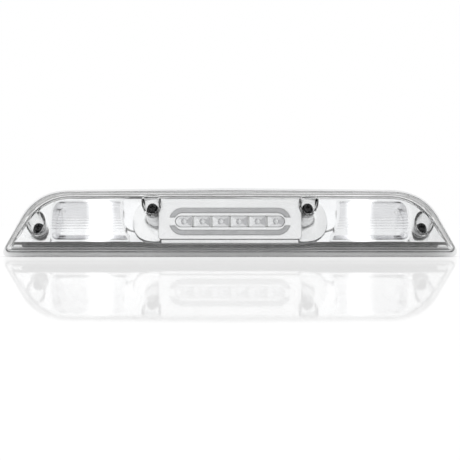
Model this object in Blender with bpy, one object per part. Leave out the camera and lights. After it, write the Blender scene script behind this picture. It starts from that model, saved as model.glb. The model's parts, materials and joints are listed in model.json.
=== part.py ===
"""Third brake light for a pickup cab: clear lens, chrome bezel, six brake optics and two cargo lamps.

The lamp bolts to a cab panel that leans back by MOUNT_TILT. The origin lies on that panel, behind the
middle of the lamp. +X is the width, +Z is up and the lens faces -Y. Two kinds of coordinates are used:
  * upright layers, planes of constant y, for the lens face, the bezel front and the boards
  * tilted layers, planes parallel to the panel at a height h in front of it, for flanges and bosses
"""
import math
from collections import namedtuple

import bpy
import bmesh
from mathutils import Matrix, Vector

MM = 0.001
GAP = 0.3                       # clearance between touching pieces, mm

# Driving dimensions, mm
MOUNT_TILT = math.radians(24.0)
LENS_FACE_Y = -39.0
LENS_WALL = 2.4
CENTRE_STEP = (68.6, 83.3)      # the lower edge steps between these widths
WINDOW_Z = 1.0                  # height of the brake window's centre line

HOUSING_REAR_H, HOUSING_FRONT_H = 2.6, 5.0
LENS_REAR_H = HOUSING_FRONT_H + GAP
LENS_RIM_H = 7.6
GASKET_H = HOUSING_REAR_H - GAP
BEZEL_EAR_H = (7.7, 9.2)

SCREW_X = {"outer_left": -185.0, "inner_left": -75.0, "inner_right": 75.0, "outer_right": 185.0}
SCREW_Z = {"outer": 2.4, "inner": 21.4}      # where each screw axis crosses the lens face
CUP_MOUTH_R, CUP_FLOOR_R, CUP_WALL = 8.1, 6.4, 1.4
CUP_DEPTH, CUP_FLOOR = 23.2, 2.8
SLEEVE_R, SPIGOT_R, BORE_R = 5.5, 5.3, 3.1
SEAL_R, SEAL_FLANGE_R = 7.4, 10.5
WASHER_R, WASHER_BORE_R, WASHER_T = 5.9, 2.8, 1.2
HEAD_R, HEAD_T = 5.15, 5.0
SHANK_R, SHANK_L = 2.5, 33.0

BEZEL_HALF_X, BEZEL_Z = 68.6, (-16.2, 22.5)
BEZEL_FRONT_Y, BEZEL_T = -31.0, 2.2
BAR_R, BAR_INNER_R, BAR_HALF_X, BAR_END_Z = 12.9, 8.3, 58.2, 4.1
WINDOW_R, WINDOW_HALF_X = 5.2, 52.3
OPTIC_PITCH, OPTIC_HALF_X, OPTIC_COUNT = 17.6, 8.3, 6
BOARD_Y = (-21.0, -19.4)
BOARD_HALF_X, BOARD_Z = 65.5, (-12.5, 14.5)
POST_X = 62.5

CARGO_X = (96.0, 172.0)
CARGO_LED_X = 127.5
REFLECTOR_FRONT_Y = -34.2
REFLECTOR_FLOOR_H = (9.0, 10.4)
REFLECTOR_SCREW = (163.5, 6.6)
CARGO_BOARD_H = (6.9, 8.5)

POCKETS = {   # the housing's boxes through the cab openings: x0, x1, v0, v1, floor height
    "centre": (-60.0, 60.0, -16.0, 20.0, -15.0),
    "left": (-156.0, -106.0, -13.0, 13.0, -11.0),
    "right": (106.0, 156.0, -13.0, 13.0, -11.0),
}
POCKET_WALL, POCKET_DRAFT = 2.0, 1.5
VENT_AT, VENT_R, VENT_HOLE_R = (142.0, 1.0), 5.0, 1.6
CONNECTOR_AT, CONNECTOR_HALF = (0.0, 2.0), (12.5, 6.6)
CONNECTOR_WALL, CONNECTOR_DEPTH = 1.5, 13.0
PIN_COUNT, PIN_PITCH, PIN_HALF = 4, 5.0, 0.4
REFLECTOR_POST_R, SCREW_PILOT_R = 3.0, 1.3

SIN, COS, TAN = math.sin(MOUNT_TILT), math.cos(MOUNT_TILT), math.tan(MOUNT_TILT)
TILTED = Matrix.Rotation(math.pi / 2 - MOUNT_TILT, 4, "X")   # local Z looks out of the panel, local Y up it

PALETTE = {
    "clear_lens": ((0.93, 0.94, 0.95), 0.04, 0.0),
    "housing_plastic": ((0.62, 0.63, 0.64), 0.45, 0.0),
    "gasket_foam": ((0.05, 0.05, 0.055), 0.9, 0.0),
    "bezel_chrome": ((0.86, 0.87, 0.88), 0.12, 1.0),
    "reflector_chrome": ((0.9, 0.9, 0.91), 0.15, 1.0),
    "light_bar": ((0.78, 0.78, 0.78), 0.25, 0.0),
    "optic_clear": ((0.85, 0.85, 0.86), 0.08, 0.0),
    "board_white": ((0.85, 0.86, 0.85), 0.4, 0.0),
    "led_phosphor": ((0.95, 0.93, 0.8), 0.35, 0.0),
    "led_red": ((0.75, 0.72, 0.7), 0.3, 0.0),
    "screw_black": ((0.012, 0.012, 0.013), 0.35, 1.0),
    "washer_rubber": ((0.02, 0.02, 0.02), 0.7, 0.0),
    "small_steel": ((0.75, 0.75, 0.76), 0.3, 1.0),
    "terminal_brass": ((0.8, 0.62, 0.3), 0.3, 1.0),
    "connector_black": ((0.02, 0.02, 0.022), 0.45, 0.0),
    "chip_black": ((0.03, 0.03, 0.03), 0.5, 0.0),
    "lead_jacket": ((0.85, 0.85, 0.84), 0.5, 0.0),
}

Outline = namedtuple("Outline", "corner radius slope handle_low handle_high shoulder crown base centre_base")
LENS_RIM = Outline((213.6, -24.4), 4.5, (204.0, 5.7), (196.0, 21.7), (181.0, 30.9), (158.0, 30.7),
                   32.2, -28.9, -28.9)
HOUSING_RIM = Outline((215.3, -27.8), 5.2, (205.6, 6.4), (197.6, 23.2), (181.6, 32.8), (158.0, 32.6),
                      34.3, -33.0, -33.0)
LENS_FACE = Outline((206.2, -20.1), 1.2, (201.2, -9.8), (190.0, 9.5), (176.0, 25.0), (151.0, 25.1),
                    25.2, -21.3, -22.8)


# Points and outlines -------------------------------------------------------------------------------

def upright(points, y):
    """Lift (x, z) points onto the upright plane at y."""
    return [Vector((x, y, z)) * MM for x, z in points]


def tilted(points, h):
    """Lift (x, z) points onto the tilted plane at height h, keeping their x and z."""
    return [Vector((x, z * TAN - h / COS, z)) * MM for x, z in points]


def panel(points, h):
    """Lift (x, v) points, v measured up the panel, onto the tilted plane at height h."""
    return [TILTED @ (Vector((x, v, h)) * MM) for x, v in points]


def circle(radius, segments, centre=(0.0, 0.0)):
    turn = 2 * math.pi / segments
    return [(centre[0] + radius * math.cos(turn * i), centre[1] + radius * math.sin(turn * i))
            for i in range(segments)]


def arc(centre, radius, start, end, steps):
    """Points on an arc, angles in degrees."""
    angles = [math.radians(start + (end - start) * i / steps) for i in range(steps + 1)]
    return [(centre[0] + radius * math.cos(a), centre[1] + radius * math.sin(a)) for a in angles]


def bezier(p0, p1, p2, p3, steps):
    """Cubic curve from p0 to p3, without its first point."""
    points = []
    for i in range(1, steps + 1):
        t = i / steps
        weights = ((1 - t) ** 3, 3 * t * (1 - t) ** 2, 3 * t * t * (1 - t), t ** 3)
        points.append(tuple(sum(w * p[k] for w, p in zip(weights, (p0, p1, p2, p3))) for k in (0, 1)))
    return points


def shrunk(rim, d):
    """The outline moved inwards by d all round."""
    radius = max(rim.radius - d, 0.4)
    shift = d - (rim.radius - radius)
    move = lambda point, dx, dz: (point[0] - dx * d, point[1] - dz * d)
    return Outline((rim.corner[0] - shift, rim.corner[1] + shift), radius, move(rim.slope, 0.9, 0.4),
                   move(rim.handle_low, 0.85, 0.6), move(rim.handle_high, 0.35, 0.95),
                   move(rim.shoulder, 0.0, 1.0), rim.crown - d, rim.base + d, rim.centre_base + d)


def outline(rim):
    """Closed (x, z) outline of a rim, anticlockwise as seen from in front."""
    right = [(CENTRE_STEP[0], rim.centre_base), (CENTRE_STEP[1], rim.base)]
    right += arc(rim.corner, rim.radius, -90, 26, 5)
    right += [rim.slope]
    right += bezier(rim.slope, rim.handle_low, rim.handle_high, rim.shoulder, 9)
    left = [(-x, z) for x, z in reversed(right)]
    return right + [(0.0, rim.crown)] + left


def rounded_box(x0, x1, z0, z1, radius, steps=4):
    points = []
    points += arc((x1 - radius, z0 + radius), radius, -90, 0, steps)
    points += arc((x1 - radius, z1 - radius), radius, 0, 90, steps)
    points += arc((x0 + radius, z1 - radius), radius, 90, 180, steps)
    points += arc((x0 + radius, z0 + radius), radius, 180, 270, steps)
    return points


def mirrored(points, side):
    """The outline on the right for side 1, on the left for side -1."""
    return [(side * x, z) for x, z in points]


# Meshes --------------------------------------------------------------------------------------------

def material(name):
    made = bpy.data.materials.get(name)
    if made is None:
        colour, roughness, metallic = PALETTE[name]
        made = bpy.data.materials.new(name)
        made.use_nodes = True
        shader = made.node_tree.nodes["Principled BSDF"]
        shader.inputs["Base Color"].default_value = (*colour, 1.0)
        shader.inputs["Roughness"].default_value = roughness
        shader.inputs["Metallic"].default_value = metallic
    return made


def finish_mesh(name, bm, finish, smooth):
    bmesh.ops.recalc_face_normals(bm, faces=bm.faces)
    mesh = bpy.data.meshes.new(name)
    bm.to_mesh(mesh)
    bm.free()
    mesh.materials.append(material(finish))
    if smooth:
        mesh.shade_smooth()
        mesh.set_sharp_from_angle(angle=math.radians(35))
    return mesh


def loft_mesh(name, rings, finish, closed=False, smooth=False):
    """Skin rings of equal count into one solid: capped at both ends, or closed into a loop."""
    bm = bmesh.new()
    loops = [[bm.verts.new(point) for point in ring] for ring in rings]
    count = len(loops[0])
    pairs = list(zip(loops, loops[1:]))
    if closed:
        pairs.append((loops[-1], loops[0]))
    for lower, upper in pairs:
        for i in range(count):
            j = (i + 1) % count
            bm.faces.new((lower[i], lower[j], upper[j], upper[i]))
    if not closed:
        bm.faces.new(loops[0])
        bm.faces.new(loops[-1])
    return finish_mesh(name, bm, finish, smooth)


def add_object(name, mesh, parent=None):
    thing = bpy.data.objects.new(name, mesh)
    bpy.context.collection.objects.link(thing)
    thing.parent = parent
    return thing


def solid(name, rings, finish, closed=False, smooth=False, parent=None):
    return add_object(name, loft_mesh(name, rings, finish, closed, smooth), parent)


def turned(profile, segments=24):
    """Rings of a turned shape about local Z from (height, radius) pairs."""
    return [[Vector((x, y, h)) * MM for x, y in circle(radius, segments)] for h, radius in profile]


def cutter(name, rings, parent=None, closed=False):
    """A solid that only shapes others."""
    thing = solid(name, rings, "small_steel", closed, parent=parent)
    thing.hide_render = True
    thing.display_type = "WIRE"
    return thing


def combine(target, other, operation):
    step = target.modifiers.new(f"{operation.lower()}_{other.name}", "BOOLEAN")
    step.operation = operation
    step.solver = "EXACT"
    step.object = other


# Screws and their cups -----------------------------------------------------------------------------

def face_height(key):
    """Height of the lens face above the panel, measured along the screw's axis."""
    z = SCREW_Z[key.split("_")[0]]
    return (z * TAN - LENS_FACE_Y) / (COS + SIN * TAN)


def screw_frame(key):
    """An empty on the screw's axis, at the panel, with local Z pointing out towards the driver."""
    z = SCREW_Z[key.split("_")[0]]
    reach = face_height(key)
    frame = bpy.data.objects.new(f"axis_{key}", None)
    bpy.context.collection.objects.link(frame)
    frame.location = Vector((SCREW_X[key], LENS_FACE_Y + reach * COS, z - reach * SIN)) * MM
    frame.rotation_euler = (math.pi / 2 - MOUNT_TILT, 0.0, 0.0)
    return frame


def cup_rings(key, extra, overrun=8.0):
    """Outside of the cup and its sleeve, grown by extra."""
    mouth = face_height(key)
    floor = mouth - CUP_DEPTH
    flare = (CUP_MOUTH_R - CUP_FLOOR_R) / CUP_DEPTH
    outer = CUP_WALL + extra
    return turned([(1.0, SLEEVE_R + extra), (floor - CUP_FLOOR, SLEEVE_R + extra),
                   (floor - CUP_FLOOR, CUP_FLOOR_R + outer), (floor, CUP_FLOOR_R + outer),
                   (mouth + overrun, CUP_MOUTH_R + outer + overrun * flare)])


def bore_rings(key, overrun=8.0):
    """Inside of the cup and the hole for the shank."""
    mouth = face_height(key)
    floor = mouth - CUP_DEPTH
    flare = (CUP_MOUTH_R - CUP_FLOOR_R) / CUP_DEPTH
    return turned([(-4.0, BORE_R), (floor, BORE_R), (floor, CUP_FLOOR_R),
                   (mouth + overrun, CUP_MOUTH_R + overrun * flare)])


def cross(arm, half_width, h):
    """Twelve-cornered cross outline for a driver recess."""
    a, w = arm, half_width
    corners = [(a, -w), (a, w), (w, w), (w, a), (-w, a), (-w, w),
               (-a, w), (-a, -w), (-w, -w), (-w, -a), (w, -a), (w, -w)]
    return [Vector((x, y, h)) * MM for x, y in corners]


def screw(key, frame, head_base):
    """Pan-head screw; its origin sits under the head, on the turning axis."""
    name = f"mount_screw_{key}"
    top = HEAD_T
    profile = [(-SHANK_L, 1.2), (-SHANK_L + 2.0, SHANK_R), (0.0, SHANK_R), (0.0, HEAD_R),
               (top * 0.45, HEAD_R), (top * 0.8, HEAD_R * 0.86), (top, HEAD_R * 0.6)]
    body = solid(name, turned(profile), "screw_black", smooth=True, parent=frame)
    body.location = (0.0, 0.0, head_base * MM)
    recess = cutter(f"recess_{key}", [cross(0.9, 0.5, top - 2.6), cross(2.6, 0.62, top + 0.4)], frame)
    recess.location = body.location
    combine(body, recess, "DIFFERENCE")


def screw_set(key, frame):
    """Sealing washer, screw and the grommet round the spigot, all on one axis."""
    floor = face_height(key) - CUP_DEPTH
    base = floor + GAP
    washer = [(base, WASHER_BORE_R), (base, WASHER_R), (base + WASHER_T, WASHER_R),
              (base + WASHER_T, WASHER_BORE_R)]
    solid(f"sealing_washer_{key}", turned(washer), "washer_rubber", True, True, frame)
    screw(key, frame, base + WASHER_T + GAP)
    bore, top = SPIGOT_R + GAP, HOUSING_FRONT_H
    ring = [(0.0, bore), (0.0, SEAL_FLANGE_R), (GASKET_H, SEAL_FLANGE_R), (GASKET_H, SEAL_R), (top, SEAL_R),
            (top, bore)]
    solid(f"boss_seal_{key}", turned(ring), "washer_rubber", True, True, frame)


# Lens, housing and gasket --------------------------------------------------------------------------

def lens_cover(frames):
    """Clear shell with drafted walls and four flared screw cups, whose spigots reach the panel."""
    rim = tilted(outline(LENS_RIM), LENS_RIM_H)
    edge = upright(outline(LENS_FACE), LENS_FACE_Y + 1.0)
    outer = [tilted(outline(LENS_RIM), LENS_REAR_H), rim, edge,
             upright(outline(shrunk(LENS_FACE, 0.8)), LENS_FACE_Y)]
    lens = solid("lens_cover", outer, "clear_lens")
    inside = shrunk(LENS_RIM, LENS_WALL)
    cavity = cutter("lens_cavity", [
        tilted(outline(inside), LENS_REAR_H - 1.5),
        tilted(outline(inside), LENS_RIM_H),
        upright(outline(shrunk(LENS_FACE, LENS_WALL)), LENS_FACE_Y + LENS_WALL)])
    for key, frame in frames.items():
        combine(cavity, cutter(f"cup_{key}", cup_rings(key, 0.0), frame), "DIFFERENCE")
    combine(lens, cavity, "DIFFERENCE")
    for key, frame in frames.items():
        spigot = cutter(f"spigot_{key}", turned([(0.0, SPIGOT_R), (LENS_RIM_H + 1.0, SPIGOT_R)]), frame)
        combine(lens, spigot, "UNION")
        combine(lens, cutter(f"bore_{key}", bore_rings(key), frame), "DIFFERENCE")


def pocket_rings(box, wall, top):
    x0, x1, v0, v1, floor = box
    foot = wall + POCKET_DRAFT
    return [panel(rounded_box(x0 + wall, x1 - wall, v0 + wall, v1 - wall, 5.0), top),
            panel(rounded_box(x0 + foot, x1 - foot, v0 + foot, v1 - foot, 5.0), floor + wall)]


def connector_rings(half_x, half_v, low, high):
    x, v = CONNECTOR_AT
    plan = rounded_box(x - half_x, x + half_x, v - half_v, v + half_v, 1.5, 2)
    return [panel(plan, low), panel(plan, high)]


def rear_housing(frames):
    """Moulded back plate with three pockets through the cab openings and four spigot holes."""
    rim = outline(HOUSING_RIM)
    rings = [tilted(rim, HOUSING_REAR_H), tilted(rim, HOUSING_FRONT_H)]
    housing = solid("rear_housing", rings, "housing_plastic")
    for side in (-1, 1):
        spot = (side * REFLECTOR_SCREW[0], REFLECTOR_SCREW[1])
        heights = (HOUSING_FRONT_H - 1.0, REFLECTOR_FLOOR_H[0] - GAP)
        post = cutter(f"post_{side}", [panel(circle(REFLECTOR_POST_R, 16, spot), h) for h in heights])
        combine(housing, post, "UNION")
    for name, box in POCKETS.items():
        outside = cutter(f"pocket_{name}", pocket_rings(box, 0.0, HOUSING_FRONT_H - 0.4))
        combine(housing, outside, "UNION")
    for name, box in POCKETS.items():
        inside = cutter(f"hollow_{name}", pocket_rings(box, POCKET_WALL, HOUSING_FRONT_H + 1.0))
        combine(housing, inside, "DIFFERENCE")
    for key, frame in frames.items():
        hole = cutter(f"hole_{key}", turned([(-3.0, SEAL_R + GAP), (9.0, SEAL_R + GAP)]), frame)
        combine(housing, hole, "DIFFERENCE")
    for side in (-1, 1):
        spot = (side * REFLECTOR_SCREW[0], REFLECTOR_SCREW[1])
        pilot = cutter(f"pilot_{side}", [panel(circle(SCREW_PILOT_R, 12, spot), h) for h in (3.6, 10.0)])
        combine(housing, pilot, "DIFFERENCE")
        floor = POCKETS["right"][4]
        breather = circle(VENT_HOLE_R, 12, (side * VENT_AT[0], VENT_AT[1]))
        vent = cutter(f"vent_hole_{side}", [panel(breather, h) for h in (floor - 2.0, floor + 4.0)])
        combine(housing, vent, "DIFFERENCE")
    half_x, half_v = CONNECTOR_HALF
    floor = POCKETS["centre"][4]
    slot = cutter("connector_slot", connector_rings(half_x + GAP, half_v + GAP, floor - 3.0, floor + 5.0))
    combine(housing, slot, "DIFFERENCE")


def lower_light_shield():
    """Black wedge inside the lens's lower wall that stops the cargo lamps shining down the rear window.

    Its underside runs just above the wall, from the lens face back to the flange.
    """
    front_y, back_y, end_x = -34.0, -22.2, 199.0
    wing = [(front_y, -18.95), (front_y, -19.6), (back_y, -25.0), (back_y, -21.2)]
    centre = [(front_y, -20.4), (front_y, -20.9), (back_y, -25.2), (back_y, -22.1)]
    clear = 0.25
    step = [(y, 0.5 * (z + low) + clear) for (y, z), (_, low) in zip(wing, centre)]
    inner, outer = CENTRE_STEP
    right = [(inner - 3.0, centre), (0.5 * (inner + outer), step), (outer + 3.0, wing), (end_x, wing)]
    stations = [(-x, section) for x, section in reversed(right)] + right
    rings = [[Vector((x, y, z)) * MM for y, z in section] for x, section in stations]
    solid("lower_light_shield", rings, "connector_black")


def mounting_gasket():
    outer = outline(shrunk(HOUSING_RIM, 1.5))
    inner = outline(shrunk(HOUSING_RIM, 8.0))
    rings = [tilted(outer, 0.0), tilted(outer, GASKET_H), tilted(inner, GASKET_H), tilted(inner, 0.0)]
    solid("mounting_gasket", rings, "gasket_foam", closed=True)


def vent_cap(side, word):
    spot = (side * VENT_AT[0], VENT_AT[1])
    base = POCKETS["right"][4] - GAP
    steps = ((base, VENT_R), (base - 1.6, VENT_R), (base - 2.4, VENT_R - 1.0))
    rings = [panel(circle(radius, 24, spot), h) for h, radius in steps]
    solid(f"vent_cap_{word}", rings, "connector_black", smooth=True)


# Connector -----------------------------------------------------------------------------------------

def connector():
    """Socket sunk into the centre pocket's back wall, open to the rear, with four pins in it."""
    half_x, half_v = CONNECTOR_HALF
    back = POCKETS["centre"][4] - GAP
    front = back + CONNECTOR_DEPTH
    shell = solid("connector_shell", connector_rings(half_x, half_v, back - 1.5, front), "connector_black")
    flange = cutter("connector_flange", connector_rings(half_x + 2.0, half_v + 2.0, back - 1.5, back))
    combine(shell, flange, "UNION")
    room_x, room_v = half_x - CONNECTOR_WALL, half_v - CONNECTOR_WALL
    hollow = cutter("connector_hollow", connector_rings(room_x, room_v, back - 3.0, front - 2.0))
    combine(shell, hollow, "DIFFERENCE")
    x, v = CONNECTOR_AT
    room = PIN_HALF + GAP
    for number in range(PIN_COUNT):
        spot_x = x + (number - (PIN_COUNT - 1) / 2) * PIN_PITCH
        square = rounded_box(spot_x - room, spot_x + room, v - room, v + room, 0.1, 1)
        hole = cutter(f"pin_hole_{number}", [panel(square, h) for h in (front - 3.0, front + 1.0)])
        combine(shell, hole, "DIFFERENCE")
        pin = [panel(rounded_box(spot_x - size, spot_x + size, v - size, v + size, 0.08, 1), h)
               for h, size in ((back + 6.0, 0.15), (back + 6.8, PIN_HALF), (front + 2.0, PIN_HALF))]
        solid(f"terminal_pin_{number + 1}", pin, "terminal_brass")


# Brake window: bezel, light bars, optics and board -------------------------------------------------

def bar_outline(sign, grow):
    """Half of a racing-track ring, above (sign 1) or below (sign -1) the window."""
    outer, inner = BAR_R + grow, BAR_INNER_R - grow
    end = BAR_END_Z - grow
    start = math.degrees(math.asin(end / outer))
    start_inner = math.degrees(math.asin(end / inner))
    bend = BAR_HALF_X - BAR_R
    points = arc((bend, 0.0), outer, start, 90, 8) + arc((-bend, 0.0), outer, 90, 180 - start, 8)
    points += arc((-bend, 0.0), inner, 180 - start_inner, 90, 7) + arc((bend, 0.0), inner, 90, start_inner, 7)
    return [(x, WINDOW_Z + sign * z) for x, z in points]


def window_outline(grow):
    bend = WINDOW_HALF_X - WINDOW_R
    radius = WINDOW_R + grow
    points = arc((bend, 0.0), radius, -90, 90, 12) + arc((-bend, 0.0), radius, 90, 270, 12)
    return [(x, WINDOW_Z + z) for x, z in points]


def ear_outline(side):
    """Plate beside the bezel box with a full, rounded outer end."""
    inner_x, reach, mid, half = BEZEL_HALF_X - 1.0, 27.5, 2.0, 20.5
    points = []
    for i in range(13):
        turn = math.radians(-90 + 15 * i)
        points.append((inner_x + reach * math.cos(turn) ** 0.6 if i not in (0, 12) else inner_x,
                       mid + half * math.sin(turn)))
    return mirrored(points, side)


def centre_bezel(frames):
    """Bright box around the brake window, with side plates that the inner screw sleeves pass through."""
    plan = rounded_box(-BEZEL_HALF_X, BEZEL_HALF_X, BEZEL_Z[0], BEZEL_Z[1], 2.5)
    wall = 2.0
    hollow = rounded_box(-BEZEL_HALF_X + wall, BEZEL_HALF_X - wall, BEZEL_Z[0] + wall, BEZEL_Z[1] - wall, 1.0)
    rings = [upright(hollow, BEZEL_FRONT_Y + BEZEL_T), tilted(hollow, BEZEL_EAR_H[0]),
             tilted(plan, BEZEL_EAR_H[0]), upright(plan, BEZEL_FRONT_Y)]
    bezel = solid("centre_bezel", rings, "bezel_chrome")
    for side in (-1, 1):
        ear = ear_outline(side)
        combine(bezel, cutter(f"ear_{side}", [tilted(ear, h) for h in BEZEL_EAR_H]), "UNION")
        foot = BOARD_Y[0] - GAP
        spot = (side * POST_X, WINDOW_Z)
        post = [upright(circle(2.7, 16, spot), y) for y in (BEZEL_FRONT_Y + 1.0, foot)]
        combine(bezel, cutter(f"board_post_{side}", post), "UNION")
        pilot = [upright(circle(1.3, 12, spot), y) for y in (foot - 5.6, foot + 2.0)]
        combine(bezel, cutter(f"board_pilot_{side}", pilot), "DIFFERENCE")
    through = (BEZEL_FRONT_Y - 2.0, BEZEL_FRONT_Y + BEZEL_T + 2.0)
    for name, shape in (("window", window_outline(GAP)), ("slot_upper", bar_outline(1, GAP)),
                        ("slot_lower", bar_outline(-1, GAP))):
        combine(bezel, cutter(name, [upright(shape, y) for y in through]), "DIFFERENCE")
    for key in ("inner_left", "inner_right"):
        room = cutter(f"cup_room_{key}", cup_rings(key, 0.4), frames[key])
        combine(bezel, room, "DIFFERENCE")


def light_bars():
    front, back = BEZEL_FRONT_Y - 1.0, BEZEL_FRONT_Y + 4.5
    for word, sign in (("upper", 1), ("lower", -1)):
        rings = [upright(bar_outline(sign, 0.0), front), upright(bar_outline(sign, 0.0), back)]
        solid(f"light_bar_{word}", rings, "light_bar")


def optic_outline(number):
    """Cell outline; the two end cells follow the window's round ends."""
    centre = (number - (OPTIC_COUNT - 1) / 2) * OPTIC_PITCH
    left, right = centre - OPTIC_HALF_X, centre + OPTIC_HALF_X
    corner = 0.8
    radii = [WINDOW_R if number == 0 else corner, WINDOW_R if number == OPTIC_COUNT - 1 else corner]
    points = []
    for x, radius, start in ((right - radii[1], radii[1], -90), (left + radii[0], radii[0], 90)):
        points += arc((x, math.copysign(WINDOW_R - radius, start)), radius, start, start + 90, 4)
        points += arc((x, -math.copysign(WINDOW_R - radius, start)), radius, start + 90, start + 180, 4)
    unique = [p for i, p in enumerate(points) if math.dist(p, points[i - 1]) > 0.01]
    return centre, [(x, WINDOW_Z + z) for x, z in unique]


def brake_optics():
    for number in range(OPTIC_COUNT):
        centre, shape = optic_outline(number)
        rings = []
        for y, scale in ((BEZEL_FRONT_Y - 0.4, 0.93), (BEZEL_FRONT_Y + 0.2, 1.0), (BEZEL_FRONT_Y + 1.6, 1.0),
                         (BEZEL_FRONT_Y + 7.5, 0.6)):
            scaled = [(centre + (x - centre) * scale, WINDOW_Z + (z - WINDOW_Z) * scale) for x, z in shape]
            rings.append(upright(scaled, y))
        solid(f"brake_optic_{number + 1}", rings, "optic_clear")


def brake_leds():
    base = BOARD_Y[0] - GAP
    for number in range(OPTIC_COUNT):
        centre = (number - (OPTIC_COUNT - 1) / 2) * OPTIC_PITCH
        body = rounded_box(centre - 2.5, centre + 2.5, WINDOW_Z - 2.5, WINDOW_Z + 2.5, 0.4, 2)
        dome = circle(1.7, 12, (centre, WINDOW_Z))
        rings = [upright(body, base), upright(body, base - 0.9), upright(dome, base - 1.0), upright(
            [(centre + (x - centre) * 0.6, WINDOW_Z + (z - WINDOW_Z) * 0.6) for x, z in dome], base - 1.6)]
        solid(f"brake_led_{number + 1}", rings, "led_red")


def brake_board():
    plan = rounded_box(-BOARD_HALF_X, BOARD_HALF_X, BOARD_Z[0], BOARD_Z[1], 2.0)
    board = solid("brake_led_board", [upright(plan, y) for y in BOARD_Y], "board_white")
    for side, word in ((-1, "left"), (1, "right")):
        spot = (side * POST_X, WINDOW_Z)
        hole = [upright(circle(1.5, 12, spot), y) for y in (BOARD_Y[0] - 1.0, BOARD_Y[1] + 1.0)]
        combine(board, cutter(f"board_hole_{side}", hole), "DIFFERENCE")
        seat = BOARD_Y[1] + GAP
        steps = ((seat - 6.0, 0.5), (seat - 5.4, 1.0), (seat, 1.0), (seat, 2.4),
                 (seat + 1.1, 2.4), (seat + 1.7, 1.5))
        rings = [upright(circle(radius, 16, spot), y) for y, radius in steps]
        solid(f"board_screw_{word}", rings, "small_steel", smooth=True)
    seat = BOARD_Y[1] + GAP
    chip = rounded_box(-30.0, -20.0, -3.0, 5.0, 0.3, 1)
    solid("driver_chip", [upright(chip, seat), upright(chip, seat + 1.8)], "chip_black")
    coil = circle(5.0, 20, (26.0, 1.0))
    solid("driver_coil", [upright(coil, seat), upright(coil, seat + 4.5)], "chip_black", smooth=True)


# Cargo lamps ---------------------------------------------------------------------------------------

def reflector_outline():
    """Right-hand reflector's front edge: bowed inner end, full round upper corner at the outer end."""
    x0, x1 = CARGO_X
    low, high = -18.2, 21.6
    points = arc((x1 - 6.0, low + 6.0), 6.0, -90, 0, 4)
    points += bezier(points[-1], (x1, 12.0), (x1 - 1.5, high), (x1 - 11.0, high), 6)
    inner_top = (x0 + 7.0, high)
    points += [(x0 + 38.0, high), inner_top]
    points += bezier(inner_top, (x0 + 9.0, 8.0), (x0 + 6.5, -4.0), (x0, low), 6)
    points += [(x0 + 38.0, low)]
    return points


def bowl_rings(front, back, front_y, floor_h, levels=4):
    """Quarter-ellipse bowl from the upright front edge to the tilted floor."""
    near, far = upright(front, front_y), tilted(back, floor_h)
    rings = []
    for level in range(levels + 1):
        turn = math.pi / 2 * level / levels
        ring = []
        for a, b in zip(near, far):
            inward, deep = 1 - math.cos(turn), math.sin(turn)
            ring.append(Vector((a.x + (b.x - a.x) * inward, a.y + (b.y - a.y) * deep,
                                a.z + (b.z - a.z) * inward)))
        rings.append(ring)
    return rings


def scaled_about(points, centre, factor_x, factor_z):
    return [(centre[0] + (x - centre[0]) * factor_x, centre[1] + (z - centre[1]) * factor_z) for x, z in points]


def cargo_reflector(side, word):
    """Bowl with a round window for the lamp and one fixing hole."""
    edge = reflector_outline()
    middle = (0.5 * sum(CARGO_X), 2.5)
    inner_edge = scaled_about(edge, middle, 0.955, 0.91)
    outer = bowl_rings(edge, scaled_about(edge, middle, 0.955, 0.72), REFLECTOR_FRONT_Y, REFLECTOR_FLOOR_H[0])
    inner = bowl_rings(inner_edge, scaled_about(edge, middle, 0.92, 0.65), REFLECTOR_FRONT_Y,
                       REFLECTOR_FLOOR_H[1])
    rings = list(reversed(outer)) + inner
    for ring in rings:
        for point in ring:
            point.x *= side
    reflector = solid(f"cargo_reflector_{word}", rings, "reflector_chrome", smooth=True)
    for name, x, v, radius in (("lamp", CARGO_LED_X, 0.0, 8.0), ("fixing", *REFLECTOR_SCREW, 1.5)):
        hole = [panel(circle(radius, 24, (side * x, v)), h) for h in (7.0, 13.0)]
        combine(reflector, cutter(f"{name}_hole_{word}", hole), "DIFFERENCE")


def cargo_lamp(side, word):
    """Lamp board, its round emitter and the reflector's fixing screw."""
    board = rounded_box(104.0, 156.0, -10.0, 10.0, 2.0)
    solid(f"cargo_led_board_{word}", [panel(mirrored(board, side), h) for h in CARGO_BOARD_H], "board_white")
    low = CARGO_BOARD_H[1] + GAP
    spot = (side * CARGO_LED_X, 0.0)
    steps = ((low, 6.5), (low + 0.9, 6.5), (low + 1.7, 5.4))
    solid(f"cargo_led_{word}", [panel(circle(r, 24, spot), h) for h, r in steps], "led_phosphor", smooth=True)
    top = REFLECTOR_FLOOR_H[1] + GAP
    spot = (side * REFLECTOR_SCREW[0], REFLECTOR_SCREW[1])
    steps = ((4.2, 0.5), (4.9, 1.0), (top, 1.0), (top, 2.2), (top + 0.9, 2.2), (top + 1.5, 1.4))
    solid(f"reflector_screw_{word}", [panel(circle(r, 16, spot), h) for h, r in steps], "small_steel",
          smooth=True)


def end_bezel(side, word, frame):
    """Plate round the outer screw's sleeve, filling the tapered end of the lens."""
    inner_x = CARGO_X[1] + 2.0
    rim = [p for p in outline(shrunk(LENS_RIM, LENS_WALL + 1.2)) if p[0] > inner_x]
    points = [(inner_x, rim[0][1])] + rim + [(inner_x, rim[-1][1])]
    plate = solid(f"end_bezel_{word}", [tilted(mirrored(points, side), h) for h in BEZEL_EAR_H], "bezel_chrome")
    hole = cutter(f"end_hole_{word}", turned([(5.0, SLEEVE_R + 0.4), (12.0, SLEEVE_R + 0.4)]), frame)
    combine(plate, hole, "DIFFERENCE")


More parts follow.
